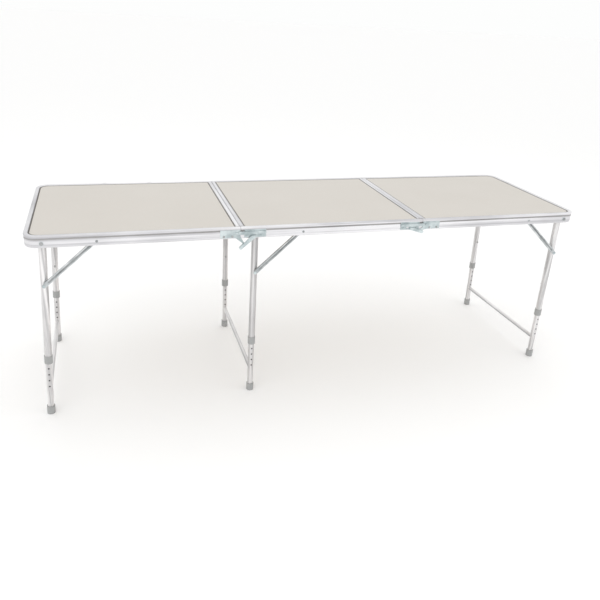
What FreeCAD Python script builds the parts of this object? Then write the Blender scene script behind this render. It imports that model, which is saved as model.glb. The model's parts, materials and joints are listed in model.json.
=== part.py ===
"""Three-panel folding table with fold-away legs.

Frame: origin on the floor under the centre of the table top, +X along the table towards
the third panel, +Y towards the rear rail with the carrying handle, +Z up. Millimetres.
"""
import FreeCAD, Part
import os
import Sketcher

V = FreeCAD.Vector
doc = FreeCAD.newDocument("folding_table")

# ---------------------------------------------------------------- driving sizes
sheet = doc.addObject("Spreadsheet::Sheet", "Size")
SIZES = [
    # table
    ("panel_pitch", 700), ("table_width", 600), ("table_height", 700), ("seam_gap", 1),
    # edge rail section
    ("rail_depth", 40), ("rail_wall", 3.5), ("flange_width", 10), ("flange_thick", 2),
    ("shelf_width", 18), ("shelf_thick", 2), ("lip_width", 14), ("lip_thick", 1.8),
    ("bead_height", 9), ("bead_slope", 1), ("groove_height", 3), ("groove_depth", 1.5),
    ("edge_round", 2.5), ("lip_bevel", 0.8),
    ("corner_radius", 45), ("bent_rail_clear", 0.2),
    # board
    ("board_thick", 8), ("board_clear", 0.2), ("board_edge_clear", 0.5),
    # legs
    ("leg_setback", 55), ("leg_pivot_rise", 15), ("middle_leg_setback", 60),
    ("end_splay", 4), ("middle_splay", 0),
    ("upper_tube_radius", 12.5), ("tube_wall", 1.2), ("tube_gap", 0.3),
    ("lower_tube_radius", "=upper_tube_radius - tube_wall - tube_gap"),
    ("tube_top", 5), ("upper_tube_reach", 457), ("lower_tube_top", 250), ("slide_clear", 0.08),
    ("collar_wall", 1.7), ("collar_radius", "=upper_tube_radius + collar_wall"),
    ("collar_height", 30), ("collar_lip", 4),
    ("foot_wall", 3.2), ("foot_radius", "=lower_tube_radius + foot_wall"),
    ("foot_height", 30), ("foot_sole", 6),
    ("cross_bar_height", 97), ("cross_bar_radius", 8), ("stow_travel", 80),
    # height buttons
    ("button_drop", 313), ("button_radius", 4), ("button_clear", 0.1), ("button_proud", 3.5),
    ("button_gap", 0.3),
    # stays
    ("stay_reach", 168), ("stay_drop", 155), ("stay_width", 14), ("stay_depth", 7),
    ("stay_wall", 1.4), ("stay_end", 11), ("stay_slot", 6),
    ("stay_clear", 0.5), ("stay_leg_clear", 2), ("head_room", 2),
    # rivets
    ("rivet_radius", 4), ("rivet_head", 7), ("head_thick", 2), ("small_rivet", 2.5),
    ("small_head", 4.5), ("head_clear", 0.1), ("small_head_thick", 1.5), ("pin_clear", 0.08),
    # seam hinges
    ("leaf_thick", 2), ("plane_gap", 0.3), ("leaf_length", 72), ("leaf_height", 28),
    ("leaf_rise", 4), ("leaf_edge", 2), ("inner_leaf_edge", 13), ("knuckle", 6),
    ("outer_seam_offset", 12), ("outer_seam_drop", 21), ("inner_seam_offset", 6),
    ("inner_seam_drop", 0.5), ("leaf_arm", 18), ("arm_height", 6),
    ("block_gap", 6), ("block_length", 16), ("block_height", 8), ("arm_shift", 0.1),
    ("catch_radius", 3.5), ("catch_in", 14), ("catch_rise", 21), ("catch_length", 4),
    # lock lever
    ("lever_height", 11), ("lever_thick", 3), ("lever_rise", 21), ("lever_pivot_in", 85),
    ("lever_nose", 10), ("screw_in", 30),
    ("near_screw_in", 25), ("far_screw_in", 76), ("screw_rise", 9.5),
    # handle
    ("handle_span", 180), ("handle_rise", 30), ("handle_arm", 25), ("grip_radius", 3.6),
    ("handle_out", 4.2), ("bracket_width", 16), ("bracket_wall", 1.6), ("bracket_height", 20),
    ("handle_pin", 2), ("handle_pin_end", 0.5), ("bracket_base", 0.5), ("eye_gap", 1),
    ("eye_step", 0.2), ("arm_step", 0.8),
]
for row, (alias, size) in enumerate(SIZES, start=1):
    sheet.set(f"A{row}", alias)
    sheet.set(f"B{row}", str(size))
    sheet.setAlias(f"B{row}", alias)
doc.recompute()


def full(text):
    """Turn short size names, written as #name, into references to the sheet."""
    return str(text).replace("#", "Size.")


def number(text):
    """Value of an expression in millimetres."""
    found = sheet.evalExpression(full(text))
    return float(getattr(found, "Value", found))


def bind(obj, **fields):
    """Tie properties of obj to expressions; a double underscore stands for a dot."""
    for field, text in fields.items():
        obj.setExpression(field.replace("__", "."), full(text))


def place(obj, x="0", y="0", z="0", axis=None, angle="0"):
    """Tie the placement of obj to expressions."""
    if axis:
        obj.Placement.Rotation = FreeCAD.Rotation(V(*axis), 1)
        bind(obj, Placement__Rotation__Axis__x=axis[0], Placement__Rotation__Axis__y=axis[1],
             Placement__Rotation__Axis__z=axis[2], Placement__Rotation__Angle=angle)
    bind(obj, Placement__Base__x=x, Placement__Base__y=y, Placement__Base__z=z)
    return obj


# ---------------------------------------------------------------- small builders
def box(name, x, y, z, length, width, height):
    obj = doc.addObject("Part::Box", name)
    bind(obj, Length=length, Width=width, Height=height)
    return place(obj, x, y, z)


def rod(name, x, y, z, radius, length, axis=None, angle="0"):
    """Cylinder from (x, y, z) along +Z, or turned about axis by angle."""
    obj = doc.addObject("Part::Cylinder", name)
    bind(obj, Radius=radius, Height=length)
    return place(obj, x, y, z, axis, angle)


def rod_y(name, x, y, z, radius, length):
    """Cylinder that runs from y towards -Y."""
    return rod(name, x, y, z, radius, length, (1, 0, 0), "90")


def fuse(name, *shapes):
    obj = doc.addObject("Part::MultiFuse", name)
    obj.Shapes = list(shapes)
    obj.Refine = True
    return obj


def cut(name, base, *tools):
    obj = doc.addObject("Part::Cut", name)
    obj.Base = base
    obj.Tool = tools[0] if len(tools) == 1 else fuse(name + "_tools", *tools)
    return obj


def group(name, *members):
    obj = doc.addObject("Part::Compound", name)
    obj.Links = list(members)
    return obj


def mirror_y(name, source):
    obj = doc.addObject("Part::Mirroring", name)
    obj.Source = source
    obj.Base = V(0, 0, 0)
    obj.Normal = V(0, 1, 0)
    return obj


def pair(name, front):
    """The front piece and its mirror image at the rear, as one group."""
    return group(name, front, mirror_y(name + "_rear", front))


NODES = []


def node(name, obj):
    """Name a finished sub-part."""
    obj.Label = name
    NODES.append(obj)
    return obj


def plane_of(body, role):
    return next(item for item in body.Origin.OriginFeatures if item.Role == role)


def outline(body, name, role, points, closed=True):
    """Sketch of straight runs and arcs. A point is (x, y), or (x, y, radius) where the run
    that starts there is an arc; a negative radius bends it to the right."""
    sketch = body.newObject("Sketcher::SketchObject", name)
    sketch.AttachmentSupport = [(plane_of(body, role), "")]
    sketch.MapMode = "FlatFace"
    spots = [V(number(p[0]), number(p[1]), 0) for p in points]
    count = len(points) if closed else len(points) - 1
    ends = []
    for i in range(count):
        a, b = spots[i], spots[(i + 1) % len(spots)]
        if len(points[i]) == 2:
            edge = sketch.addGeometry(Part.LineSegment(a, b))
            ends.append((edge, 1, 2))
            continue
        radius = number(points[i][2])
        half = (b - a) * 0.5
        side = V(-half.y, half.x, 0).normalize() * (1 if radius > 0 else -1)
        rise = max(radius * radius - half.Length ** 2, 0) ** 0.5
        centre = a + half + side * rise
        middle = centre + (a + half - centre).normalize() * abs(radius)
        if rise < 1e-6:
            middle = a + half - side * abs(radius)
        arc = Part.Arc(a, middle, b)
        edge = sketch.addGeometry(arc)
        first = sketch.Geometry[edge].StartPoint
        forward = (first - a).Length < 1e-6
        ends.append((edge, 1, 2) if forward else (edge, 2, 1))
        spot = sketch.addConstraint(Sketcher.Constraint("Radius", edge, abs(radius)))
        size = full(points[i][2])
        sketch.setExpression(f".Constraints[{spot}]", size if radius > 0 else f"-({size})")
    for i in range(count):
        edge, start, stop = ends[i]
        for kind, text, value in (("DistanceX", points[i][0], spots[i].x),
                                  ("DistanceY", points[i][1], spots[i].y)):
            spot = sketch.addConstraint(Sketcher.Constraint(kind, -1, 1, edge, start, value))
            sketch.setExpression(f".Constraints[{spot}]", full(text))
        if i + 1 < count or closed:
            after, after_start, _ = ends[(i + 1) % count]
            sketch.addConstraint(
                Sketcher.Constraint("Coincident", edge, stop, after, after_start))
        else:
            for kind, text, value in (("DistanceX", points[-1][0], spots[-1].x),
                                      ("DistanceY", points[-1][1], spots[-1].y)):
                spot = sketch.addConstraint(Sketcher.Constraint(kind, -1, 1, edge, stop, value))
                sketch.setExpression(f".Constraints[{spot}]", full(text))
    return sketch


def new_body(name):
    return doc.addObject("PartDesign::Body", name)


def pad(body, sketch, length, reversed_=False, feature="PartDesign::Pad"):
    obj = body.newObject(feature, sketch.Name + ("_pad" if "Pad" in feature else "_pocket"))
    obj.Profile = sketch
    obj.Reversed = reversed_
    bind(obj, Length=length)
    return obj


# ---------------------------------------------------------------- shared places
TOP = "#table_height"
RAIL_LOW = "(#table_height - #rail_depth)"
SHELF = "(#rail_depth - #lip_thick - #board_clear - #board_thick)"
HALF_WIDTH = "(#table_width / 2)"
SEAM = "(#panel_pitch / 2)"
PANEL = "(#panel_pitch - #seam_gap / 2)"
PIVOT_Z = "(#table_height - #rail_depth + #leg_pivot_rise)"
STAY_FACE = "(#table_width / 2 - #flange_width - #head_room - #stay_clear)"
LEG_Y = f"({STAY_FACE} - #stay_depth - #stay_leg_clear - #upper_tube_radius)"
BUTTON_SEAT = "(#lower_tube_radius + #button_gap)"
BOARD_EDGE = "(#rail_wall + #board_edge_clear)"
TUBE_REACH = "(#upper_tube_radius + 1)"


def rail_section(edge):
    """Section of the edge rail as (outwards, up) points; edge is the outer face."""
    def at(inwards, up):
        return (f"{edge} + {inwards}", up)
    low = "#edge_round"
    bead = "(#rail_depth - #bead_height)"
    groove = f"({bead} - #groove_height)"
    return [
        at("#edge_round", "0"),
        at("#flange_width", "0"),
        at("#flange_width", "#flange_thick"),
        at("#rail_wall", "#flange_thick"),
        at("#rail_wall", f"{SHELF} - #shelf_thick"),
        at("#shelf_width", f"{SHELF} - #shelf_thick"),
        at("#shelf_width", SHELF),
        at("#rail_wall", SHELF),
        at("#rail_wall", "#rail_depth - #lip_thick"),
        at("#lip_width", "#rail_depth - #lip_thick"),
        at("#lip_width - #lip_bevel", "#rail_depth"),
        at("#edge_round", "#rail_depth") + (low,),
        at("0", "#rail_depth - #edge_round"),
        at("0", f"{bead} + #bead_slope"),
        at("#groove_depth", bead),
        at("#groove_depth", groove),
        at("0", f"{groove} - #groove_depth"),
        at("0", "#edge_round") + (low,),
    ]


# ---------------------------------------------------------------- table top
def straight_rail(name, length):
    """Straight rail along +X whose outer face is the face towards -Y."""
    body = new_body(name)
    section = outline(body, name + "_section", "YZ_Plane", rail_section("0"))
    pad(body, section, length)
    return body


def rail_corner(name):
    """Quarter turn of the rail about its centre, from the side towards -Y to the +X side."""
    body = new_body(name)
    section = outline(body, name + "_section", "YZ_Plane", rail_section("-#corner_radius"))
    turn = body.newObject("PartDesign::Revolution", name + "_turn")
    turn.Profile = section
    turn.ReferenceAxis = (section, ["V_Axis"])
    turn.Angle = 90
    return body


def end_frame(name):
    """Bent rail that runs round the three free sides of an end panel, seam at x = 0."""
    turn = f"(-{PANEL} + #corner_radius)"
    side = f"({HALF_WIDTH} - #corner_radius)"
    up = (0, 0, 1)
    return fuse(
        name,
        place(straight_rail(name + "_front", f"-{turn}"), turn, f"-{HALF_WIDTH}", "0"),
        place(rail_corner(name + "_front_corner"), turn, f"-{side}", "0", up, "-90"),
        place(straight_rail(name + "_end", f"2 * {side}"), f"-{PANEL}", side, "0", up, "-90"),
        place(rail_corner(name + "_rear_corner"), turn, side, "0", up, "180"),
        place(straight_rail(name + "_rear", f"-{turn}"), "0", HALF_WIDTH, "0", up, "180"))


def end_board(name):
    """Board of an end panel, with the two free corners rounded."""
    body = new_body(name)
    far = f"(-{PANEL} + {BOARD_EDGE})"
    side = f"({HALF_WIDTH} - {BOARD_EDGE})"
    bend = f"(#corner_radius - {BOARD_EDGE})"
    shape = outline(body, name + "_outline", "XY_Plane", [
        (f"-{BOARD_EDGE}", f"-{side}"),
        (f"-{BOARD_EDGE}", side),
        (f"{far} + {bend}", side, bend),
        (far, f"{side} - {bend}"),
        (far, f"-{side} + {bend}", bend),
        (f"{far} + {bend}", f"-{side}"),
    ])
    pad(body, shape, "#board_thick")
    return body


SEAM_RAIL = "(#table_width - 2 * (#shelf_width + #bent_rail_clear))"

for panel, sign, turn in ((1, "-", "0"), (3, "", "180")):
    seam_x = f"{sign}({SEAM} + #seam_gap / 2)"
    frame = node(f"panel_{panel}_edge_frame", end_frame(f"panel_{panel}_frame"))
    place(frame, seam_x, "0", RAIL_LOW, (0, 0, 1), turn)
    board = node(f"panel_{panel}_board", end_board(f"panel_{panel}_top"))
    place(board, seam_x, "0", f"{RAIL_LOW} + {SHELF}", (0, 0, 1), turn)
    rail = node(f"panel_{panel}_seam_rail", straight_rail(f"panel_{panel}_seam", SEAM_RAIL))
    place(rail, seam_x, f"{sign}{SEAM_RAIL} / 2", RAIL_LOW, (0, 0, 1), f"{90 - int(turn)}")

MIDDLE = "(#panel_pitch - #seam_gap)"
for name, turn, side in (("front", "0", "-"), ("rear", "180", "")):
    rail = node(f"panel_2_{name}_rail", straight_rail(f"panel_2_{name}", MIDDLE))
    place(rail, f"{'-' if name == 'front' else ''}{MIDDLE} / 2", f"{side}{HALF_WIDTH}",
          RAIL_LOW, (0, 0, 1), turn)
for name, turn, side in (("left", "-90", "-"), ("right", "90", "")):
    rail = node(f"panel_2_{name}_seam_rail", straight_rail(f"panel_2_{name}", SEAM_RAIL))
    place(rail, f"{side}{MIDDLE} / 2", f"{'' if name == 'left' else '-'}{SEAM_RAIL} / 2",
          RAIL_LOW, (0, 0, 1), turn)
node("panel_2_board", box(
    "panel_2_top", f"-{MIDDLE} / 2 + {BOARD_EDGE}", f"-{HALF_WIDTH} + {BOARD_EDGE}",
    f"{RAIL_LOW} + {SHELF}", f"{MIDDLE} - 2 * {BOARD_EDGE}",
    f"#table_width - 2 * {BOARD_EDGE}", "#board_thick"))


# ---------------------------------------------------------------- legs
# A leg frame is drawn with its pivot at the origin, hanging along -Z and folding towards +X.
def leg_bore(name, drop, reach, radius):
    """Cutter along Y through the front tube of a frame at a drop below the pivot."""
    return rod_y(name, "0", f"-{LEG_Y} + {reach}", f"-({drop})", radius, f"2 * ({reach})")


def tube(name, outer, top, bottom):
    """Hollow front tube between two drops below the pivot."""
    outside = rod(name + "_outside", "0", f"-{LEG_Y}", f"-({bottom})", outer, f"{bottom} - ({top})")
    inside = rod(name + "_inside", "0", f"-{LEG_Y}", f"-({bottom}) - 1", f"{outer} - #tube_wall",
                 f"{bottom} - ({top}) + 2")
    return outside, inside


def button_hole(name, drop):
    """Cutter along Y on the inner side of the front tube."""
    return rod_y(name, "0", f"-{LEG_Y} + {TUBE_REACH}", f"-({drop})",
                 "#button_radius + #button_clear", TUBE_REACH)


def upper_tubes(leg):
    outside, inside = tube(leg + "_upper", "#upper_tube_radius", "-#tube_top",
                           "#upper_tube_reach")
    return cut(leg + "_upper_tube", outside, inside,
               leg_bore(leg + "_pivot_bore", "0", TUBE_REACH, "#rivet_radius + #pin_clear"),
               leg_bore(leg + "_stay_bore", "#stay_drop", TUBE_REACH, "#small_rivet"),
               button_hole(leg + "_button_bore", "#button_drop"))


def collars(leg):
    low = "(#upper_tube_reach + #collar_lip)"
    sleeve = rod(leg + "_collar_body", "0", f"-{LEG_Y}", f"-{low}", "#collar_radius",
                 "#collar_height")
    seat = rod(leg + "_collar_seat", "0", f"-{LEG_Y}", "-#upper_tube_reach",
               "#upper_tube_radius", "#collar_height")
    bore = rod(leg + "_collar_bore", "0", f"-{LEG_Y}", f"-{low} - 1",
               "#lower_tube_radius + #slide_clear", "#collar_height")
    return cut(leg + "_collar", sleeve, seat, bore)


def lower_tubes(leg):
    bottom = f"({PIVOT_Z} - #foot_sole)"
    outside, inside = tube(leg + "_lower", "#lower_tube_radius", "#lower_tube_top", bottom)
    return cut(leg + "_lower_tube", outside, inside,
               button_hole(leg + "_hole_out", "#button_drop"),
               button_hole(leg + "_hole_in", "#button_drop + #stow_travel"))


def feet(leg, splay):
    cup = rod(leg + "_foot_body", "0", f"-{LEG_Y}", f"-{PIVOT_Z} - 2 * #foot_sole",
              "#foot_radius", "#foot_height + 2 * #foot_sole")
    seat = rod(leg + "_foot_seat", "0", f"-{LEG_Y}", f"-({PIVOT_Z} - #foot_sole)",
               "#lower_tube_radius", "2 * #foot_height")
    half = "(2 * #foot_radius)"
    drop = f"({PIVOT_Z} + 3 * #foot_sole)"
    start = f"(-{half} - {drop} * tan({splay}))"
    floor = box(leg + "_floor", "0", "0", "0", f"2 * {half}", f"2 * {half}", "3 * #foot_sole")
    place(floor, f"{start} * cos({splay}) + {drop} * sin({splay})", f"-{LEG_Y} - {half}",
          f"{start} * sin({splay}) - {drop} * cos({splay})", (0, 1, 0), f"-{splay}")
    return cut(leg + "_foot", cup, seat, floor)


def cross_bar(leg):
    drop = f"({PIVOT_Z} - #cross_bar_height)"
    bar = rod_y(leg + "_bar", "0", LEG_Y, f"-{drop}", "#cross_bar_radius", f"2 * {LEG_Y}")
    ends = [rod(leg + "_bar_end_" + name, "0", f"{side}{LEG_Y}", f"-{drop} - 2 * #cross_bar_radius",
                "#lower_tube_radius", "4 * #cross_bar_radius")
            for name, side in (("front", "-"), ("rear", ""))]
    return cut(leg + "_bar_between", bar, *ends)


def button(leg, name, side):
    """Round height button in the inner side of an upper tube."""
    seat = f"({LEG_Y} - {BUTTON_SEAT})"
    length = f"(#upper_tube_radius + #button_proud - {BUTTON_SEAT})"
    start = f"-{seat} + {length}" if side < 0 else seat
    return rod_y(f"{leg}_{name}_button_pin", "0", start, "-#button_drop", "#button_radius", length)


def stay(leg, splay):
    """Slotted channel; it starts at the rivet on the leg and ends at the rivet on the rail."""
    rise = f"(#stay_drop * cos({splay}))"
    run = f"(#stay_reach + #stay_drop * sin({splay}))"
    span = f"sqrt({rise}^2 + {run}^2)"
    half = "(#stay_width / 2)"
    web = box(leg + "_web", "0", "0", f"-{half}", span, "#stay_wall", "#stay_width")
    start = rod_y(leg + "_web_start", "0", "#stay_wall", "0", half, "#stay_wall")
    end = rod_y(leg + "_web_end", span, "#stay_wall", "0", half, "#stay_wall")
    flange_run = f"({span} - 2 * #stay_end)"
    low = box(leg + "_low_flange", "#stay_end", "0", f"-{half}", flange_run, "#stay_depth",
              "#stay_wall")
    high = box(leg + "_high_flange", "#stay_end", "0", f"{half} - #stay_wall", flange_run,
               "#stay_depth", "#stay_wall")
    slot_start = "(2 * #stay_end)"
    slot = box(leg + "_slot", slot_start, "-1", "-#stay_slot / 2", f"{span} - {slot_start}",
               "#stay_wall + 2", "#stay_slot")
    slot_ends = [rod_y(leg + f"_slot_end_{i}", where, "#stay_wall + 1", "0", "#stay_slot / 2",
                       "#stay_wall + 2") for i, where in enumerate((slot_start, span))]
    bore = rod_y(leg + "_stay_pin_bore", "0", "#stay_wall + 1", "0",
                 "#small_rivet + #pin_clear", "#stay_wall + 2")
    channel = cut(leg + "_stay", fuse(leg + "_stay_blank", web, start, end, low, high),
                  slot, *slot_ends, bore)
    return place(channel, f"-#stay_drop * sin({splay})", f"-{STAY_FACE}", f"-{rise}",
                 (0, 1, 0), f"-atan({rise} / {run})")


def stay_rivets(leg):
    """Rivet that holds a stay to its upper tube."""
    outer = f"(-{STAY_FACE} - #pin_clear)"
    length = f"({STAY_FACE} - {LEG_Y} + #upper_tube_radius + #pin_clear)"
    shank = rod_y(leg + "_stay_shank", "0", f"{outer} + {length}", "-#stay_drop",
                  "#small_rivet", length)
    tube_face = f"(-{LEG_Y} - #upper_tube_radius)"
    spacer = rod_y(leg + "_stay_spacer", "0", tube_face, "-#stay_drop", "#small_head",
                   f"{STAY_FACE} - #stay_wall - #pin_clear + {tube_face}")
    outer_head = rod_y(leg + "_stay_head", "0", outer, "-#stay_drop", "#small_head",
                       "#small_head_thick - #pin_clear")
    inner_head = rod_y(leg + "_stay_tail", "0",
                       f"-{LEG_Y} + #upper_tube_radius + #small_head_thick",
                       "-#stay_drop", "#small_head", "#small_head_thick")
    return fuse(leg + "_stay_rivet", shank, spacer, outer_head, inner_head)


def rail_rivets(leg):
    """Front leg pivot and front stay rivet, both set in the rail. They are drawn upright."""
    face = f"-{HALF_WIDTH}"
    tube_out = f"(-{LEG_Y} - #upper_tube_radius)"
    pivot = fuse(
        leg + "_pivot_rivet",
        rod_y(leg + "_pivot_shank", "0", f"-{LEG_Y} + #upper_tube_radius + #head_thick", "0",
              "#rivet_radius", f"{HALF_WIDTH} - {LEG_Y} + #upper_tube_radius + #head_thick"),
        rod_y(leg + "_pivot_head", "0", face, "0", "#rivet_head", "#head_thick"),
        rod_y(leg + "_pivot_tail", "0", f"-{LEG_Y} + #upper_tube_radius + #head_thick", "0",
              "#rivet_head", "#head_thick - #pin_clear"),
        rod_y(leg + "_pivot_spacer", "0", f"{tube_out} - #pin_clear", "0", "#rivet_head",
              f"{HALF_WIDTH} - #rail_wall - {LEG_Y} - #upper_tube_radius - #pin_clear"))
    stub = fuse(
        leg + "_slot_rivet",
        rod_y(leg + "_slot_shank", "#stay_reach", f"-{STAY_FACE} - #plane_gap", "0",
              "#small_rivet", f"{HALF_WIDTH} - {STAY_FACE} - #plane_gap"),
        rod_y(leg + "_slot_head", "#stay_reach", face, "0", "#small_head",
              "#small_head_thick"),
        rod_y(leg + "_slot_tail", "#stay_reach", f"-{STAY_FACE} - #plane_gap", "0",
              "#small_head", "#small_head_thick"))
    return group(leg + "_rail_rivet_set", pivot, stub)


def rail_bores(name, x, facing):
    """Holes of one leg frame through the front or rear rail."""
    drill = "(2 * #rail_wall + 2)"
    cutters = []
    for face, start in (("front", f"-{HALF_WIDTH} + #rail_wall + 1"),
                        ("rear", f"{HALF_WIDTH} + #rail_wall + 1")):
        cutters.append(rod_y(f"{name}_{face}_pivot_hole", x, start, PIVOT_Z, "#rivet_radius",
                             drill))
        cutters.append(rod_y(f"{name}_{face}_slot_hole", f"{x} + {facing} * #stay_reach", start,
                             PIVOT_Z, "#small_rivet", drill))
    return cutters


LEGS = [
    ("leg_1", f"(-3 * {SEAM} + #leg_setback)", 1, "#end_splay", "0"),
    ("leg_2", f"(-{SEAM} + #middle_leg_setback)", 1, "#middle_splay", "0"),
    ("leg_3", f"(3 * {SEAM} - #leg_setback)", -1, "#end_splay", "180"),
]


def stand(obj, x, half_turn, splay):
    """Put a leg piece at its pivot, turned to its fold side and leaned outwards."""
    lean = doc.addObject("Part::Compound", obj.Name + "_lean")
    lean.Links = [obj]
    place(lean, "0", "0", "0", (0, 1, 0), splay)
    standing = doc.addObject("Part::Compound", obj.Name + "_set")
    standing.Links = [lean]
    return place(standing, x, "0", PIVOT_Z, (0, 0, 1), half_turn)


for leg, x, facing, splay, half_turn in LEGS:
    leaning = [
        ("upper_tubes", pair(leg + "_uppers", upper_tubes(leg)), splay),
        ("collars", pair(leg + "_collar_pair", collars(leg)), splay),
        ("lower_tubes", pair(leg + "_lowers", lower_tubes(leg)), splay),
        ("feet", pair(leg + "_feet_pair", feet(leg, splay)), splay),
        ("cross_bar", cross_bar(leg), splay),
        ("stay_rivets", pair(leg + "_stay_rivet_pair", stay_rivets(leg)), splay),
        ("front_button", button(leg, "front", -facing), splay),
        ("rear_button", button(leg, "rear", facing), splay),
        ("stays", pair(leg + "_stay_pair", stay(leg, splay)), "0"),
        ("rail_rivets", pair(leg + "_rail_rivet_pair", rail_rivets(leg)), "0"),
    ]
    for name, piece, lean in leaning:
        node(f"{leg}_{name}", stand(piece, x, half_turn, lean))


# ---------------------------------------------------------------- seam hinges
# A hinge is drawn at the front rail for the right-hand seam, with x measured from the seam.
PLANES = {
    1: "0",
    "leaf": "#leaf_thick",
    2: "(#leaf_thick + #plane_gap)",
    3: "(2 * (#leaf_thick + #plane_gap))",
    4: "(3 * #leaf_thick + 2 * #plane_gap + #head_clear)",
    "lever": "(#leaf_thick + #plane_gap + #lever_thick + #head_clear)",
}


def plate(name, points, plane, thick="#leaf_thick"):
    """Flat plate parallel to the rail's face."""
    body = new_body(name)
    shape = outline(body, name + "_shape", "XZ_Plane", points)
    pad(body, shape, thick)
    return place(body, "0", f"-{HALF_WIDTH} - {PLANES[plane]}", RAIL_LOW)


def disc(name, x, up, radius, plane, thick="#leaf_thick"):
    """Round boss on a plane, up from the bottom of the rail."""
    return rod_y(name, x, f"-{HALF_WIDTH} - {PLANES[plane]}", f"{RAIL_LOW} + {up}", radius, thick)


for seam, turn_x, offset, drop in (("seam_1", -1, "#outer_seam_offset", "#outer_seam_drop"),
                                   ("seam_2", 1, "#inner_seam_offset", "#inner_seam_drop")):
    # pin B is on the end panel, pin A on the middle panel
    pin_b = (f"-{offset}", f"-{drop}")
    pin_a = ("0", f"(-{drop} - {offset})")
    bore = "#small_rivet + #pin_clear"
    low, high = "#leaf_rise", "(#leaf_rise + #leaf_height)"
    far = "#leaf_length"
    thick = "#leaf_thick"

    outer_plate = plate(seam + "_outer_plate", [
        ("#leaf_edge", low), (far, low), (far, high), ("#leaf_edge", high)], 1)
    outer_arm = plate(seam + "_outer_arm", [
        (f"{pin_b[0]} - 0.6 * #knuckle", f"{pin_b[1]} - 0.6 * #knuckle"),
        ("#leaf_arm + #leaf_edge", low),
        ("#leaf_arm + #leaf_edge", f"{low} + #arm_height"),
        ("#leaf_edge", f"{low} + #arm_height"),
        (f"{pin_b[0]} + #arm_shift", f"{pin_b[1]} + 0.95 * #knuckle")], 1)
    outer = cut(seam + "_outer_leaf", fuse(
        seam + "_outer_blank", outer_plate, outer_arm,
        disc(seam + "_outer_knuckle", *pin_b, "#knuckle", 1),
        disc(seam + "_catch", "#catch_in", "#catch_rise", "#catch_radius", 1,
             "#leaf_thick + #catch_length")),
        disc(seam + "_outer_bore", *pin_b, "#small_rivet", 1))

    inner_edge = "(-#inner_leaf_edge)"
    inner_plate = plate(seam + "_inner_plate", [
        ("-#leaf_length - #leaf_arm", low), (inner_edge, low), (inner_edge, high),
        ("-#leaf_length - #leaf_arm", high)], 1)
    block_in = f"({inner_edge} - #leaf_arm - #block_gap)"
    block = plate(seam + "_inner_block", [
        (f"{block_in} - #block_length", low), (block_in, low), (block_in, f"{low} + #block_height"),
        (f"{block_in} - #block_length", f"{low} + #block_height")], 1, f"{PLANES[3]} + #leaf_thick")
    ear = plate(seam + "_inner_ear", [
        (f"{block_in} - #block_length", low),
        (f"{pin_a[0]} - 0.5 * #knuckle", f"{pin_a[1]} - 0.8 * #knuckle"),
        (f"{pin_a[0]} + #arm_shift", f"{pin_a[1]} + 0.95 * #knuckle"),
        (block_in, f"{low} + #block_height"),
        (f"{block_in} - #block_length", f"{low} + #block_height")], 3)
    lever_spot = ("-#lever_pivot_in", "#lever_rise")
    inner = cut(seam + "_inner_leaf", fuse(
        seam + "_inner_blank", inner_plate, block, ear,
        disc(seam + "_inner_knuckle", *pin_a, "#knuckle", 3)),
        disc(seam + "_inner_bore", *pin_a, "#small_rivet", 3),
        disc(seam + "_lever_hole", *lever_spot, "#small_rivet", 1),
        disc(seam + "_leg_hole", "-#middle_leg_setback", "#leg_pivot_rise",
             "#rivet_head + #head_clear", 1))

    link = cut(seam + "_link", fuse(
        seam + "_link_blank",
        disc(seam + "_link_a", *pin_a, "#knuckle", 2),
        disc(seam + "_link_b", *pin_b, "#knuckle", 2),
        plate(seam + "_link_web", [
            (f"{pin_a[0]} - 0.7 * #knuckle", f"{pin_a[1]} - 0.7 * #knuckle"),
            (f"{pin_a[0]} + 0.7 * #knuckle", f"{pin_a[1]} + 0.7 * #knuckle"),
            (f"{pin_b[0]} + 0.7 * #knuckle", f"{pin_b[1]} + 0.7 * #knuckle"),
            (f"{pin_b[0]} - 0.7 * #knuckle", f"{pin_b[1]} - 0.7 * #knuckle")], 2)),
        disc(seam + "_link_bore_a", *pin_a, bore, 2),
        disc(seam + "_link_bore_b", *pin_b, bore, 2))

    outer_fixings = group(
        seam + "_outer_fixing_set",
        disc(seam + "_pin_b", *pin_b, "#small_rivet", 1, f"{PLANES[2]} + #leaf_thick"),
        *[disc(f"{seam}_outer_screw_{i}", where, "#screw_rise", "#small_head",
               "leaf", "#small_head_thick")
          for i, where in enumerate(("#screw_in", "2 * #screw_in"))])
    inner_fixings = group(
        seam + "_inner_fixing_set",
        fuse(seam + "_inner_pin",
             disc(seam + "_pin_a", *pin_a, "#small_rivet", 2,
                  "2 * #leaf_thick + #plane_gap + #head_clear"),
             disc(seam + "_pin_a_head", *pin_a, "#small_head", 4, "#small_head_thick")),
        fuse(seam + "_lever_rivet",
             disc(seam + "_lever_shank", *lever_spot, "#small_rivet", 1,
                  f"{PLANES[2]} + #lever_thick + 2 * #head_clear"),
             disc(seam + "_lever_head", *lever_spot, "#small_head", "lever",
                  "#small_head_thick")),
        *[disc(f"{seam}_inner_screw_{i}", where, "#screw_rise", "#small_head",
               "leaf", "#small_head_thick")
          for i, where in enumerate(("-#near_screw_in", "-#far_screw_in"))])
    lever = cut(seam + "_lever", fuse(
        seam + "_lever_blank",
        plate(seam + "_lever_bar", [
            ("-#lever_pivot_in", "#lever_rise - #lever_height / 2"),
            ("#lever_nose - #lever_height / 2", "#lever_rise - #lever_height / 2"),
            ("#lever_nose - #lever_height / 2", "#lever_rise + #lever_height / 2"),
            ("-#lever_pivot_in", "#lever_rise + #lever_height / 2")], 2, "#lever_thick"),
        disc(seam + "_lever_heel", *lever_spot, "#lever_height / 2", 2, "#lever_thick"),
        disc(seam + "_lever_toe", "#lever_nose - #lever_height / 2", "#lever_rise",
             "#lever_height / 2", 2, "#lever_thick")),
        disc(seam + "_lever_bore", *lever_spot, bore, 2, "#lever_thick"))

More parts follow.
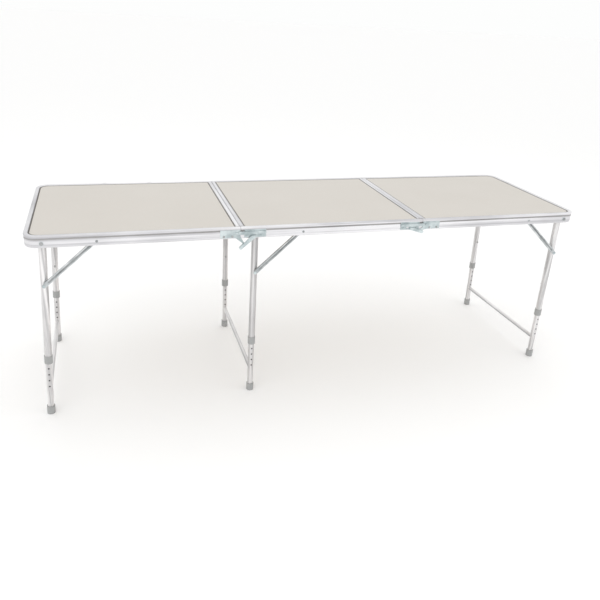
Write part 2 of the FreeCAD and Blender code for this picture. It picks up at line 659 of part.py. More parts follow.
    turn = "0" if turn_x > 0 else "180"
    seam_x = SEAM if turn_x > 0 else f"-{SEAM}"
    first, second = ("front", "rear") if turn_x > 0 else ("rear", "front")
    pieces = [
        ("outer_leaves", pair(seam + "_outer_pair", outer)),
        ("inner_leaves", pair(seam + "_inner_pair", inner)),
        ("links", pair(seam + "_link_pair", link)),
        ("outer_fixings", pair(seam + "_outer_fixing_pair", outer_fixings)),
        ("inner_fixings", pair(seam + "_inner_fixing_pair", inner_fixings)),
        (first + "_lock_lever", lever),
        (second + "_lock_lever", mirror_y(seam + "_lever_mirror", lever)),
    ]
    for name, piece in pieces:
        turned = doc.addObject("Part::Compound", f"{seam}_{name}_set")
        turned.Links = [piece]
        node(f"{seam}_{name}", place(turned, seam_x, "0", "0", (0, 0, 1), turn))


# ---------------------------------------------------------------- carrying handle
# Rear rail of the first panel; the grip hangs from two pins and swings outwards.
HANDLE_X = f"(-2 * {SEAM})"
HANDLE_Y = f"({HALF_WIDTH} + #handle_out)"
HANDLE_Z = f"({RAIL_LOW} + #handle_rise)"


def rod_x(name, x, y, z, radius, length):
    return rod(name, x, y, z, radius, length, (0, 1, 0), "90")


brackets, arms = [], []
for end, side in (("left", "-"), ("right", "")):
    middle = f"({HANDLE_X} {side or '+'} #handle_span / 2)"
    left = f"({middle} - #bracket_width / 2)"
    right = f"({middle} + #bracket_width / 2 - #bracket_wall)"
    low = f"({HANDLE_Z} - #bracket_height / 2)"
    ears = [box(f"handle_{end}_ear_{i}", where, HALF_WIDTH, f"{HANDLE_Z} - #grip_radius",
                "#bracket_wall", "#handle_out + #grip_radius", "2 * #grip_radius")
            for i, where in enumerate((left, right))]
    base = box(f"handle_{end}_base", left, HALF_WIDTH, low, "#bracket_width", "#bracket_base",
               "#bracket_height")
    pin = rod_x(f"handle_{end}_pin", f"{left} - #handle_pin_end", HANDLE_Y, HANDLE_Z,
                "#handle_pin", "#bracket_width + 2 * #handle_pin_end")
    brackets.append(fuse(f"handle_{end}_bracket", base, *ears, pin))
    eye_width = "(#bracket_width - 2 * #bracket_wall - 2 * #eye_gap)"
    eye = rod_x(f"handle_{end}_eye", f"{middle} - {eye_width} / 2", HANDLE_Y, HANDLE_Z,
                "#grip_radius - #eye_step", eye_width)
    arm = rod(f"handle_{end}_arm", middle, HANDLE_Y, f"{HANDLE_Z} - #handle_arm",
              "#grip_radius - #arm_step", "#handle_arm")
    bore = rod_x(f"handle_{end}_bore", f"{middle} - #bracket_width", HANDLE_Y, HANDLE_Z,
                 "#handle_pin + #pin_clear", "2 * #bracket_width")
    arms.append(cut(f"handle_{end}_link", fuse(f"handle_{end}_blank", eye, arm), bore))
bar = rod_x("handle_bar", f"{HANDLE_X} - #handle_span / 2", HANDLE_Y,
            f"{HANDLE_Z} - #handle_arm", "#grip_radius", "#handle_span")
node("handle_brackets", group("handle_bracket_pair", *brackets))
node("handle_grip", fuse("handle_grip_whole", bar, *arms))

# ---------------------------------------------------------------- rivet holes in the rails
for holder, (leg, x, facing, _, _) in (
        ("panel_1_edge_frame", LEGS[0]), ("panel_3_edge_frame", LEGS[2]),
        ("panel_2_front_rail", LEGS[1]), ("panel_2_rear_rail", LEGS[1])):
    rail = next(item for item in NODES if item.Label == holder)
    drilled = cut(holder + "_drilled", rail, *rail_bores(f"{holder}_{leg}", x, facing))
    rail.Label = holder + "_plain"
    NODES[NODES.index(rail)] = drilled
    drilled.Label = holder

# ---------------------------------------------------------------- checks and export
doc.recompute()
for obj in doc.Objects:
    if "Invalid" in obj.State or "Error" in obj.State:
        raise RuntimeError(f"{obj.Name} did not build: {obj.getStatusString()}")
os.makedirs("parts", exist_ok=True)
for obj in NODES:
    if obj.Shape.isNull() or not obj.Shape.isValid() or not obj.Shape.Solids:
        raise RuntimeError(f"{obj.Label} has no valid solid")
    obj.Shape.exportStep(f"parts/{obj.Label}.step")
print(f"{len(NODES)} sub-parts written")
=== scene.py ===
"""Long folding table: laminated panels in aluminium rails, on three fold-away tube legs."""
import bmesh
import bpy
import json
import math
from mathutils import Matrix, Vector

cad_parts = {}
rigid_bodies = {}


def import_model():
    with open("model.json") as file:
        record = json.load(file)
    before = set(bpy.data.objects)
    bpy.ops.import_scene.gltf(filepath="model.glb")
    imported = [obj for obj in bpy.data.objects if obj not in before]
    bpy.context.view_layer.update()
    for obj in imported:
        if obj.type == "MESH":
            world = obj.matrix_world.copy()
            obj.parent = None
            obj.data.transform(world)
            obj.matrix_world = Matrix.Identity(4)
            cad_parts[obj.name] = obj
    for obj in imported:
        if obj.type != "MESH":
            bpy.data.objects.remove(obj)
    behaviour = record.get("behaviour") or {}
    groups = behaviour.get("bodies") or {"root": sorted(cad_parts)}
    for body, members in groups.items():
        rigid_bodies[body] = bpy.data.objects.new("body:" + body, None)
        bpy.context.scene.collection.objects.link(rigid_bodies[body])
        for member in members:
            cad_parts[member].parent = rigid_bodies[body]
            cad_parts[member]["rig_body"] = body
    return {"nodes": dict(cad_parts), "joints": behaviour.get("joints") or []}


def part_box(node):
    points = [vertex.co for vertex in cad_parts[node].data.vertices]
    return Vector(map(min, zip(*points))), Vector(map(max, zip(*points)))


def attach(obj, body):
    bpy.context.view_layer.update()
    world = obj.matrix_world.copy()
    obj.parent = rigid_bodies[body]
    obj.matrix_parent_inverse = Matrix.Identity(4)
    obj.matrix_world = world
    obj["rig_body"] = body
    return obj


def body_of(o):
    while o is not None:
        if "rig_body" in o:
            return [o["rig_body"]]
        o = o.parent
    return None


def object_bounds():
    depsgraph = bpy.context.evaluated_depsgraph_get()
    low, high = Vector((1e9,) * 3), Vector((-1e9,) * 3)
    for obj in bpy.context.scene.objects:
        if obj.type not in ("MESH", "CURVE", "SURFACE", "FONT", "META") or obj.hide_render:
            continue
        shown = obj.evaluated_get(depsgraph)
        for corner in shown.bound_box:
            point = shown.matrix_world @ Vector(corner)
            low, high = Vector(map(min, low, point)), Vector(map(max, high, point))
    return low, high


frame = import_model()
cad_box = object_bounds()

# ---------------------------------------------------------------- viewpoint and light
# A standing person's view from in front of the left end, with soft studio light.
# The stand is a plain pale floor, which isn't part of the table.
VIEW_PLACE = Vector((-0.780, -2.178, 1.386))
VIEW_YAW = math.radians(17.54)
VIEW_PITCH = math.radians(26.418)
VIEW_ROLL = math.radians(3.454)
VIEW_LENS = 35.33
VIEW_SHIFT = 0.03

ahead = Vector((math.sin(VIEW_YAW) * math.cos(VIEW_PITCH),
                math.cos(VIEW_YAW) * math.cos(VIEW_PITCH),
                -math.sin(VIEW_PITCH)))
level = Vector((math.cos(VIEW_YAW), -math.sin(VIEW_YAW), 0))
upright = level.cross(ahead)
tilted = level * math.cos(VIEW_ROLL) + upright * math.sin(VIEW_ROLL)
tilted_up = upright * math.cos(VIEW_ROLL) - level * math.sin(VIEW_ROLL)
camera_data = bpy.data.cameras.new("view")
camera_data.lens = VIEW_LENS
camera_data.shift_x = VIEW_SHIFT
camera = bpy.data.objects.new("view", camera_data)
camera.matrix_world = Matrix.Translation(VIEW_PLACE) @ Matrix(
    (tilted, tilted_up, -ahead)).transposed().to_4x4()
bpy.context.scene.collection.objects.link(camera)
bpy.context.scene.camera = camera

for name, place, size, power in (("window", (-2.6, -2.6, 3.2), 2.6, 20),
                                 ("fill", (3.2, -1.8, 2.4), 2.4, 8),
                                 ("top", (0.2, 1.2, 3.4), 3.0, 10)):
    panel_light = bpy.data.lights.new(name, "AREA")
    panel_light.shape = "SQUARE"
    panel_light.size = size
    panel_light.energy = power
    lamp = bpy.data.objects.new(name, panel_light)
    lamp.location = place
    aim = Vector((0, 0, 0.5)) - Vector(place)
    lamp.rotation_euler = aim.to_track_quat("-Z", "Y").to_euler()
    bpy.context.scene.collection.objects.link(lamp)

room = bpy.data.worlds.new("room")
room.use_nodes = True
room.node_tree.nodes["Background"].inputs["Color"].default_value = (0.985, 0.99, 0.985, 1)
room.node_tree.nodes["Background"].inputs["Strength"].default_value = 1.0
bpy.context.scene.world = room
bpy.context.scene.view_settings.view_transform = "Standard"


def floor_finish():
    """Matt white paint for the floor."""
    paint = bpy.data.materials.new("floor_paint")
    paint.use_nodes = True
    shader = paint.node_tree.nodes["Principled BSDF"]
    shader.inputs["Base Color"].default_value = (1.0, 0.995, 0.995, 1)
    shader.inputs["Roughness"].default_value = 0.8
    return paint


floor_mesh = bpy.data.meshes.new("floor")
FLOOR_REACH = 60.0
floor_mesh.from_pydata([(-FLOOR_REACH, -FLOOR_REACH, 0), (FLOOR_REACH, -FLOOR_REACH, 0),
                        (FLOOR_REACH, FLOOR_REACH, 0), (-FLOOR_REACH, FLOOR_REACH, 0)],
                       [], [(0, 1, 2, 3)])
floor_mesh.materials.append(floor_finish())
floor = bpy.data.objects.new("floor", floor_mesh)
bpy.context.scene.collection.objects.link(floor)


# ---------------------------------------------------------------- boards
# Thin fibreboard under a matt cream laminate with a faint printed fleck. The bare brown
# back shows from below. Each board is dropped into its rails and held by their lips.
LAMINATE = (0.612, 0.576, 0.530)
LAMINATE_FLECK = (0.535, 0.497, 0.448)


def new_effect(name, inputs, outputs):
    """Shader node group with named inputs, given as (name, socket, value), and outputs."""
    group = bpy.data.node_groups.new(name, "ShaderNodeTree")
    for label, kind, value in inputs:
        entry = group.interface.new_socket(label, in_out="INPUT", socket_type=kind)
        if value is not None:
            entry.default_value = value
    for label in outputs:
        group.interface.new_socket(label, in_out="OUTPUT", socket_type="NodeSocketFloat")
    return group, group.nodes.new("NodeGroupInput"), group.nodes.new("NodeGroupOutput")


def math_node(tree, operation, first, second):
    """Output of a maths node fed by two sockets or numbers."""
    node = tree.nodes.new("ShaderNodeMath")
    node.operation = operation
    for socket, value in ((node.inputs[0], first), (node.inputs[1], second)):
        if isinstance(value, (int, float)):
            socket.default_value = value
        else:
            tree.links.new(value, socket)
    return node.outputs[0]


def noise(tree, place, scale, detail=2.0):
    """Noise at a place, as a value round 0.5."""
    node = tree.nodes.new("ShaderNodeTexNoise")
    node.inputs["Detail"].default_value = detail
    tree.links.new(place, node.inputs["Vector"])
    if isinstance(scale, (int, float)):
        node.inputs["Scale"].default_value = scale
    else:
        tree.links.new(scale, node.inputs["Scale"])
    return node.outputs["Fac"]


def make_fleck():
    """Small printed flecks over a slow drift of tone."""
    group, given, result = new_effect("fleck", [
        ("Place", "NodeSocketVector", None), ("Size", "NodeSocketFloat", 0.003),
        ("Cover", "NodeSocketFloat", 0.3)], ["Tone", "Height"])
    rate = math_node(group, "DIVIDE", 1.0, given.outputs["Size"])
    grain = noise(group, given.outputs["Place"], rate, 3.0)
    drift = noise(group, given.outputs["Place"], 4.0)
    spots = group.nodes.new("ShaderNodeMapRange")
    spots.inputs["From Min"].default_value = 0.45
    spots.inputs["From Max"].default_value = 0.75
    group.links.new(grain, spots.inputs["Value"])
    covered = math_node(group, "MULTIPLY", spots.outputs["Result"], given.outputs["Cover"])
    slow = math_node(group, "MULTIPLY", drift, 0.35)
    group.links.new(math_node(group, "ADD", covered, slow), result.inputs["Tone"])
    group.links.new(grain, result.inputs["Height"])
    return group


FLECK = make_fleck()


def start_finish(name, roughness, metallic=0.0):
    """Material with its shader, its tree and a socket for places on the table."""
    made = bpy.data.materials.new(name)
    made.use_nodes = True
    tree = made.node_tree
    shader = tree.nodes["Principled BSDF"]
    shader.inputs["Roughness"].default_value = roughness
    shader.inputs["Metallic"].default_value = metallic
    places = tree.nodes.new("ShaderNodeTexCoord").outputs["Object"]
    return made, tree, shader, places


def use_effect(tree, group, place, **sizes):
    """Add a shader group at a place, set its named inputs and return its outputs."""
    node = tree.nodes.new("ShaderNodeGroup")
    node.node_tree = group
    tree.links.new(place, node.inputs["Place"])
    for label, value in sizes.items():
        node.inputs[label.replace("_", " ")].default_value = value
    return node.outputs


def tone_colour(tree, shader, tone, light, dark):
    """Base colour that goes from light to dark as the tone rises."""
    mix = tree.nodes.new("ShaderNodeMix")
    mix.data_type = "RGBA"
    mix.inputs["A"].default_value = (*light, 1)
    mix.inputs["B"].default_value = (*dark, 1)
    tree.links.new(tone, mix.inputs["Factor"])
    tree.links.new(mix.outputs["Result"], shader.inputs["Base Color"])
    return mix


def relief(tree, shader, height, depth):
    """Fine relief, with its depth in metres."""
    bump = tree.nodes.new("ShaderNodeBump")
    bump.inputs["Distance"].default_value = depth
    tree.links.new(height, bump.inputs["Height"])
    tree.links.new(bump.outputs["Normal"], shader.inputs["Normal"])


def rough_range(tree, shader, tone, low, high):
    """Roughness that drifts between two values with the tone."""
    spread = tree.nodes.new("ShaderNodeMapRange")
    spread.inputs["To Min"].default_value = low
    spread.inputs["To Max"].default_value = high
    tree.links.new(tone, spread.inputs["Value"])
    tree.links.new(spread.outputs["Result"], shader.inputs["Roughness"])


def board_finish():
    """Flecked laminate, with the bare board on the face that looks down."""
    made, tree, shader, places = start_finish("cream_laminate", 0.42)
    fleck = use_effect(tree, FLECK, places, Size=0.0022, Cover=0.45)
    mix = tone_colour(tree, shader, fleck["Tone"], LAMINATE, LAMINATE_FLECK)
    # the face that looks down is bare brown board
    turn = tree.nodes.new("ShaderNodeSeparateXYZ")
    tree.links.new(tree.nodes.new("ShaderNodeTexCoord").outputs["Normal"], turn.inputs[0])
    below = math_node(tree, "LESS_THAN", turn.outputs["Z"], -0.5)
    back = tree.nodes.new("ShaderNodeMix")
    back.data_type = "RGBA"
    back.inputs["B"].default_value = (0.46, 0.39, 0.30, 1)
    tree.links.new(below, back.inputs["Factor"])
    tree.links.new(mix.outputs["Result"], back.inputs["A"])
    tree.links.new(back.outputs["Result"], shader.inputs["Base Color"])
    rough_range(tree, shader, fleck["Tone"], 0.36, 0.52)
    relief(tree, shader, fleck["Height"], 0.00012)
    return made


def dress(names, finish):
    """Give carried-over pieces a finish in place of their plain one."""
    for name in names:
        mesh = frame["nodes"][name].data
        mesh.materials.clear()
        mesh.materials.append(finish)


BOARD = board_finish()
dress([f"panel_{i}_board" for i in (1, 2, 3)], BOARD)


# ---------------------------------------------------------------- edge rails
# Extruded aluminium with a bright bead along the top, a groove under it and a flange at
# the bottom. The end rails are one length bent round two corners, the rest are cut straight.
def make_drawn_lines_and_reflection():
    """Fine lines that run along a drawn or extruded metal part, over broad light and dark streaks
    along the same run that are painted reflection.
    """
    group, given, result = new_effect("drawn_lines", [
        ("Place", "NodeSocketVector", None), ("Stretch", "NodeSocketVector", (1, 1, 1)),
        ("Cloud", "NodeSocketFloat", 6.0)], ["Tone", "Height"])
    stretch = group.nodes.new("ShaderNodeVectorMath")
    stretch.operation = "MULTIPLY"
    group.links.new(given.outputs["Place"], stretch.inputs[0])
    group.links.new(given.outputs["Stretch"], stretch.inputs[1])
    lines = noise(group, stretch.outputs["Vector"], 1.0, 3.0)
    # broad light and dark streaks: painted reflection, standing in for the highlights and dark
    # edges of bright metal
    reflection_streaks = noise(group, stretch.outputs["Vector"], 0.14, 1.0)
    cloud = noise(group, given.outputs["Place"], given.outputs["Cloud"], 2.0)
    fine = math_node(group, "MULTIPLY", math_node(group, "ADD", lines, cloud), 0.35)
    lines_and_reflection = math_node(group, "ADD", fine, math_node(group, "MULTIPLY", reflection_streaks, 0.9))
    spread = group.nodes.new("ShaderNodeMapRange")
    spread.inputs["From Min"].default_value = 0.62
    spread.inputs["From Max"].default_value = 1.0
    group.links.new(lines_and_reflection, spread.inputs["Value"])
    group.links.new(spread.outputs["Result"], result.inputs["Tone"])
    group.links.new(lines, result.inputs["Height"])
    return group


DRAWN_LINES_AND_REFLECTION = make_drawn_lines_and_reflection()
RAIL_LIGHT = (0.86, 0.855, 0.875)
RAIL_DARK = (0.54, 0.535, 0.555)
LINES_LEVEL = (8, 8, 900)
LINES_ALONG_Y = (900, 6, 900)
LINES_ALONG_Z = (700, 700, 5)


def metal_finish(name, light, dark, stretch, roughness, metallic=0.9, depth=0.00004):
    """Drawn metal whose fine lines are long where the stretch is small, with broad light and dark
    patches of painted reflection that run the same way.
    """
    made, tree, shader, places = start_finish(name, roughness, metallic)
    drawn = use_effect(tree, DRAWN_LINES_AND_REFLECTION, places, Stretch=stretch)
    tone_colour(tree, shader, drawn["Tone"], light, dark)
    rough_range(tree, shader, drawn["Tone"], roughness - 0.08, roughness + 0.12)
    relief(tree, shader, drawn["Height"], depth)
    return made


# the rails' broad light and dark bands are painted reflection over their fine drawn lines
LONG_RAIL = metal_finish("satin_rail_long", RAIL_LIGHT, RAIL_DARK, LINES_LEVEL, 0.34)
CROSS_RAIL = metal_finish("satin_rail_cross", RAIL_LIGHT, RAIL_DARK, LINES_ALONG_Y, 0.34)
dress(["panel_1_edge_frame", "panel_3_edge_frame", "panel_2_front_rail",
       "panel_2_rear_rail"], LONG_RAIL)
dress(["panel_1_seam_rail", "panel_3_seam_rail", "panel_2_left_seam_rail",
       "panel_2_right_seam_rail"], CROSS_RAIL)

# The groove gets a darker, rougher metal: painted shade in the recess under the bead.
GROOVE_SHADE = metal_finish("rail_groove", (0.56, 0.55, 0.55), (0.38, 0.37, 0.37), LINES_LEVEL, 0.6)
# the groove and its sloping sides, measured down from the top of the rail, take the darker metal
# as painted shade
GROOVE_LOW = cad_box[1].z - 0.0136
GROOVE_HIGH = cad_box[1].z - 0.0079
for name in ("panel_1_edge_frame", "panel_3_edge_frame", "panel_2_front_rail",
             "panel_2_rear_rail"):
    mesh = frame["nodes"][name].data
    mesh.materials.append(GROOVE_SHADE)
    for face in mesh.polygons:
        if GROOVE_LOW < face.center.z < GROOVE_HIGH and abs(face.normal.z) < 0.9:
            face.material_index = 1


# ---------------------------------------------------------------- board seals
# A flat brown-grey rubber strip lines the joint between each board and the lips round it.
# It is one soft length laid on the board and held against the lips all the way round.
SEAL_WIDTH = 0.0045
SEAL_HEIGHT = 0.0008
LIP_REACH = 0.0142
LIP_CORNER = 0.0308
BOARD_INSET = 0.004
CORNER_STEPS = 8


def new_tree(name, inputs):
    """Geometry tree with named inputs, given as (name, socket, value)."""
    tree = bpy.data.node_groups.new(name, "GeometryNodeTree")
    tree.interface.new_socket("Geometry", in_out="INPUT", socket_type="NodeSocketGeometry")
    for label, kind, value in inputs:
        entry = tree.interface.new_socket(label, in_out="INPUT", socket_type=kind)
        if value is not None:
            entry.default_value = value
    tree.interface.new_socket("Geometry", in_out="OUTPUT", socket_type="NodeSocketGeometry")
    return tree, tree.nodes.new("NodeGroupInput"), tree.nodes.new("NodeGroupOutput")


def finish_tree(tree, given, result, shape):
    """Realize, set the material and send the shape out."""
    real = tree.nodes.new("GeometryNodeRealizeInstances")
    painted = tree.nodes.new("GeometryNodeSetMaterial")
    tree.links.new(shape, real.inputs[0])
    tree.links.new(real.outputs[0], painted.inputs["Geometry"])
    tree.links.new(given.outputs["Finish"], painted.inputs["Material"])
    tree.links.new(painted.outputs[0], result.inputs["Geometry"])


def grow(tree, source, **sizes):
    """Run a tree on a source object and return the plain mesh that it makes."""
    modifier = source.modifiers.new("grow", "NODES")
    modifier.node_group = tree
    for item in tree.interface.items_tree:
        label = item.name.replace(" ", "_")
        if item.in_out == "INPUT" and label in sizes:
            modifier[item.identifier] = sizes[label]
    bpy.context.view_layer.update()
    depsgraph = bpy.context.evaluated_depsgraph_get()
    mesh = bpy.data.meshes.new_from_object(source.evaluated_get(depsgraph))
    source.modifiers.remove(modifier)
    return mesh


def show(name, mesh, body, smooth=True):
    """Put a finished mesh in the scene on its body."""
    piece = bpy.data.objects.new(name, mesh)
    bpy.context.scene.collection.objects.link(piece)
    for face in mesh.polygons:
        face.use_smooth = smooth
    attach(piece, body)
    return piece


def seal_tree():
    """Flat strip swept along a curve."""
    tree, given, result = new_tree("board_seal", [
        ("Width", "NodeSocketFloat", 0.001), ("Height", "NodeSocketFloat", 0.001),
        ("Finish", "NodeSocketMaterial", None)])
    section = tree.nodes.new("GeometryNodeCurvePrimitiveQuadrilateral")
    sweep = tree.nodes.new("GeometryNodeCurveToMesh")
    tree.links.new(given.outputs["Width"], section.inputs["Width"])
    tree.links.new(given.outputs["Height"], section.inputs["Height"])
    tree.links.new(given.outputs["Geometry"], sweep.inputs["Curve"])
    tree.links.new(section.outputs["Curve"], sweep.inputs["Profile Curve"])
    finish_tree(tree, given, result, sweep.outputs["Mesh"])
    return tree


def seal_finish():
    """Brown-grey rubber with a faint fleck."""
    made, tree, shader, places = start_finish("dark_seal", 0.7)
    fleck = use_effect(tree, FLECK, places, Size=0.004, Cover=0.6)
    tone_colour(tree, shader, fleck["Tone"], (0.155, 0.145, 0.135), (0.085, 0.08, 0.075))
    relief(tree, shader, fleck["Height"], 0.0001)
    return made


def seal_path(low, high, rounded):
    """Closed run round a board; rounded is -1, 0 or 1 for the end with round corners."""
    corners = [(low.x, low.y), (high.x, low.y), (high.x, high.y), (low.x, high.y)]
    middle = (low.x + high.x) / 2
    points = []
    for i, (x, y) in enumerate(corners):
        if (x - middle) * rounded <= 0:
            points.append((x, y))
            continue
        centre = (x - math.copysign(LIP_CORNER, x - middle), y - math.copysign(LIP_CORNER, y))
        start = (-180, -90, 0, 90)[i]
        for step in range(CORNER_STEPS + 1):
            turn = math.radians(start + step * 90 / CORNER_STEPS)
            points.append((centre[0] + LIP_CORNER * math.cos(turn),
                           centre[1] + LIP_CORNER * math.sin(turn)))
    return points


SEAL = seal_finish()
SEAL_TREE = seal_tree()
# a board's edge stands in from its rails' outer faces by less than the lips reach
for panel, body, rounded in (("panel_1", "left_panel", -1), ("panel_2", "middle_panel", 0),
                             ("panel_3", "right_panel", 1)):
    low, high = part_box(f"{panel}_board")
    overlap = LIP_REACH - BOARD_INSET + SEAL_WIDTH / 2
    low = low + Vector((overlap, overlap, 0))
    high = high - Vector((overlap, overlap, 0))
    run = bpy.data.curves.new(f"{panel}_seal_run", "CURVE")
    run.dimensions = "3D"
    line = run.splines.new("POLY")
    spots = seal_path(low, high, rounded)
    line.points.add(len(spots) - 1)
    for point, (x, y) in zip(line.points, spots):
        point.co = (x, y, high.z, 1)
    line.use_cyclic_u = True
    source = bpy.data.objects.new(f"{panel}_seal_run", run)
    bpy.context.scene.collection.objects.link(source)
    mesh = grow(SEAL_TREE, source, Width=SEAL_WIDTH, Height=SEAL_HEIGHT, Finish=SEAL)
    bpy.data.objects.remove(source)
    show(f"{panel}_seal", mesh, body, smooth=False)


# ---------------------------------------------------------------- leg tubes
# Thin drawn aluminium tube. The lower tube slides in the upper one, and a row of holes
# through its wall sets the height, where the sprung button catches.
TUBE_LIGHT = (0.90, 0.885, 0.885)
TUBE_DARK = (0.46, 0.455, 0.46)
LEGS = (("leg_1", "left"), ("leg_2", "middle"), ("leg_3", "right"))
# the broad light and dark streaks along the tubes are painted reflection over their fine drawn
# lines
TUBE = metal_finish("drawn_tube", TUBE_LIGHT, TUBE_DARK, LINES_ALONG_Z, 0.36)
dress([f"{leg}_{part}" for leg, _ in LEGS for part in ("upper_tubes", "lower_tubes")], TUBE)
BAR = metal_finish("drawn_bar", TUBE_LIGHT, TUBE_DARK, LINES_ALONG_Y, 0.36)
dress([f"{leg}_cross_bar" for leg, _ in LEGS], BAR)

joints = {joint["name"]: joint for joint in frame["joints"]}
LOWER_RADIUS = (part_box("leg_2_lower_tubes")[1].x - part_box("leg_2_lower_tubes")[0].x) / 2
UPPER_RADIUS = (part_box("leg_2_upper_tubes")[1].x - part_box("leg_2_upper_tubes")[0].x) / 2
TUBE_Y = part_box("leg_2_upper_tubes")[1].y - UPPER_RADIUS
COLLAR_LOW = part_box("leg_2_collars")[0].z
PIVOT_HIGH = joints["middle_leg_fold"]["pos_m"][2]


def tube_frames(side_name, facing=1):
    """Matrices at the leg pivot of each tube: Y down the tube, Z sideways out of it."""
    pivot = Vector(joints[f"{side_name}_leg_fold"]["pos_m"])
    down = -Vector(joints[f"{side_name}_leg_slide"]["axis"]).normalized()
    for side in (-1, 1):
        out = Vector((0, side * facing, 0))
        across = down.cross(out)
        turn = Matrix((across, down, out)).transposed().to_4x4()
        yield Matrix.Translation(Vector((pivot.x, side * TUBE_Y, pivot.z))) @ turn


def gather(mesh, matrices, name):
    """One mesh with a copy of the given one at each matrix."""
    made = bmesh.new()
    for matrix in matrices:
        copy = mesh.copy()
        copy.transform(matrix)
        made.from_mesh(copy)
        bpy.data.meshes.remove(copy)
    bmesh.ops.recalc_face_normals(made, faces=made.faces)
    whole = bpy.data.meshes.new(name)
    made.to_mesh(whole)
    made.free()
    for finish in mesh.materials:
        whole.materials.append(finish)
    return whole


def seed_point(name="seed"):
    """Object with one vertex for a tree to start from."""
    mesh = bpy.data.meshes.new(name)
    mesh.from_pydata([(0, 0, 0)], [], [])
    seed = bpy.data.objects.new(name, mesh)
    bpy.context.scene.collection.objects.link(seed)
    return seed


def hole_row_tree():
    """Row of dark round spots that lie on a tube along Y."""
    tree, given, result = new_tree("hole_row", [
        ("Tube Radius", "NodeSocketFloat", 0.011), ("Hole Radius", "NodeSocketFloat", 0.003),
        ("Start", "NodeSocketFloat", 0.48), ("Pitch", "NodeSocketFloat", 0.025),
        ("Count", "NodeSocketInt", 4), ("Finish", "NodeSocketMaterial", None)])
    spot = tree.nodes.new("GeometryNodeMeshCylinder")
    spot.inputs["Vertices"].default_value = 16
    spot.inputs["Fill Segments"].default_value = 3
    spot.inputs["Depth"].default_value = 0.0003
    tree.links.new(given.outputs["Hole Radius"], spot.inputs["Radius"])
    # lay the spot on the round of the tube
    place = tree.nodes.new("GeometryNodeInputPosition")
    parts = tree.nodes.new("ShaderNodeSeparateXYZ")
    tree.links.new(place.outputs[0], parts.inputs[0])
    square = math_node(tree, "MULTIPLY", given.outputs["Tube Radius"],
                       given.outputs["Tube Radius"])
    across = math_node(tree, "MULTIPLY", parts.outputs["X"], parts.outputs["X"])
    height = math_node(tree, "POWER", math_node(tree, "SUBTRACT", square, across), 0.5)
    shift = tree.nodes.new("ShaderNodeCombineXYZ")
    tree.links.new(height, shift.inputs["Z"])
    bend = tree.nodes.new("GeometryNodeSetPosition")
    tree.links.new(spot.outputs["Mesh"], bend.inputs["Geometry"])
    tree.links.new(shift.outputs[0], bend.inputs["Offset"])
    start = tree.nodes.new("ShaderNodeCombineXYZ")
    tree.links.new(given.outputs["Start"], start.inputs["Y"])
    step = tree.nodes.new("ShaderNodeCombineXYZ")
    tree.links.new(given.outputs["Pitch"], step.inputs["Y"])
    row = tree.nodes.new("GeometryNodeMeshLine")
    tree.links.new(given.outputs["Count"], row.inputs["Count"])
    tree.links.new(start.outputs[0], row.inputs["Start Location"])
    tree.links.new(step.outputs[0], row.inputs["Offset"])
    copies = tree.nodes.new("GeometryNodeInstanceOnPoints")
    tree.links.new(row.outputs["Mesh"], copies.inputs["Points"])
    tree.links.new(bend.outputs["Geometry"], copies.inputs["Instance"])
    finish_tree(tree, given, result, copies.outputs["Instances"])
    return tree


def hole_shade_finish():
    """Dark inside of a hole, painted on a flat disc as shade."""
    made, tree, shader, places = start_finish("hole_dark", 0.8)
    fleck = use_effect(tree, FLECK, places, Size=0.002, Cover=0.5)
    tone_colour(tree, shader, fleck["Tone"], (0.10, 0.10, 0.105), (0.03, 0.03, 0.03))
    return made


# Each hole is a flat dark disc on the tube: painted shade where the real hole goes through.
HOLE_SHADE = hole_shade_finish()
HOLE_TREE = hole_row_tree()
HOLE_PITCH = 0.025
HOLE_COUNT = 4
HOLE_RADIUS = 0.0032
HOLE_START = PIVOT_HIGH - COLLAR_LOW + 0.02
seed = seed_point()
for leg, side_name in LEGS:
    row = grow(HOLE_TREE, seed, Tube_Radius=LOWER_RADIUS, Hole_Radius=HOLE_RADIUS,
               Start=HOLE_START, Pitch=HOLE_PITCH, Count=HOLE_COUNT, Finish=HOLE_SHADE)
    matrices = list(tube_frames(side_name)) + list(tube_frames(side_name, -1))
    show(f"{leg}_height_holes", gather(row, matrices, f"{leg}_height_holes"),
         f"{leg}_lower")


# ---------------------------------------------------------------- collars, feet and buttons
# Moulded grey plastic. The collar and the foot are pushed on their tubes and have fine
# ribs for grip, and the button is a plain round peg.
def plastic_finish(name, light, dark, roughness):
    """Moulded plastic with a fine grain."""
    made, tree, shader, places = start_finish(name, roughness)
    fleck = use_effect(tree, FLECK, places, Size=0.0009, Cover=0.7)
    tone_colour(tree, shader, fleck["Tone"], light, dark)
    rough_range(tree, shader, fleck["Tone"], roughness - 0.06, roughness + 0.12)
    relief(tree, shader, fleck["Height"], 0.00015)
    return made


GREY_PLASTIC = plastic_finish("grey_moulding", (0.42, 0.425, 0.42), (0.27, 0.275, 0.28), 0.5)
dress([f"{leg}_{part}" for leg, _ in LEGS
       for part in ("collars", "feet", "front_button", "rear_button")], GREY_PLASTIC)


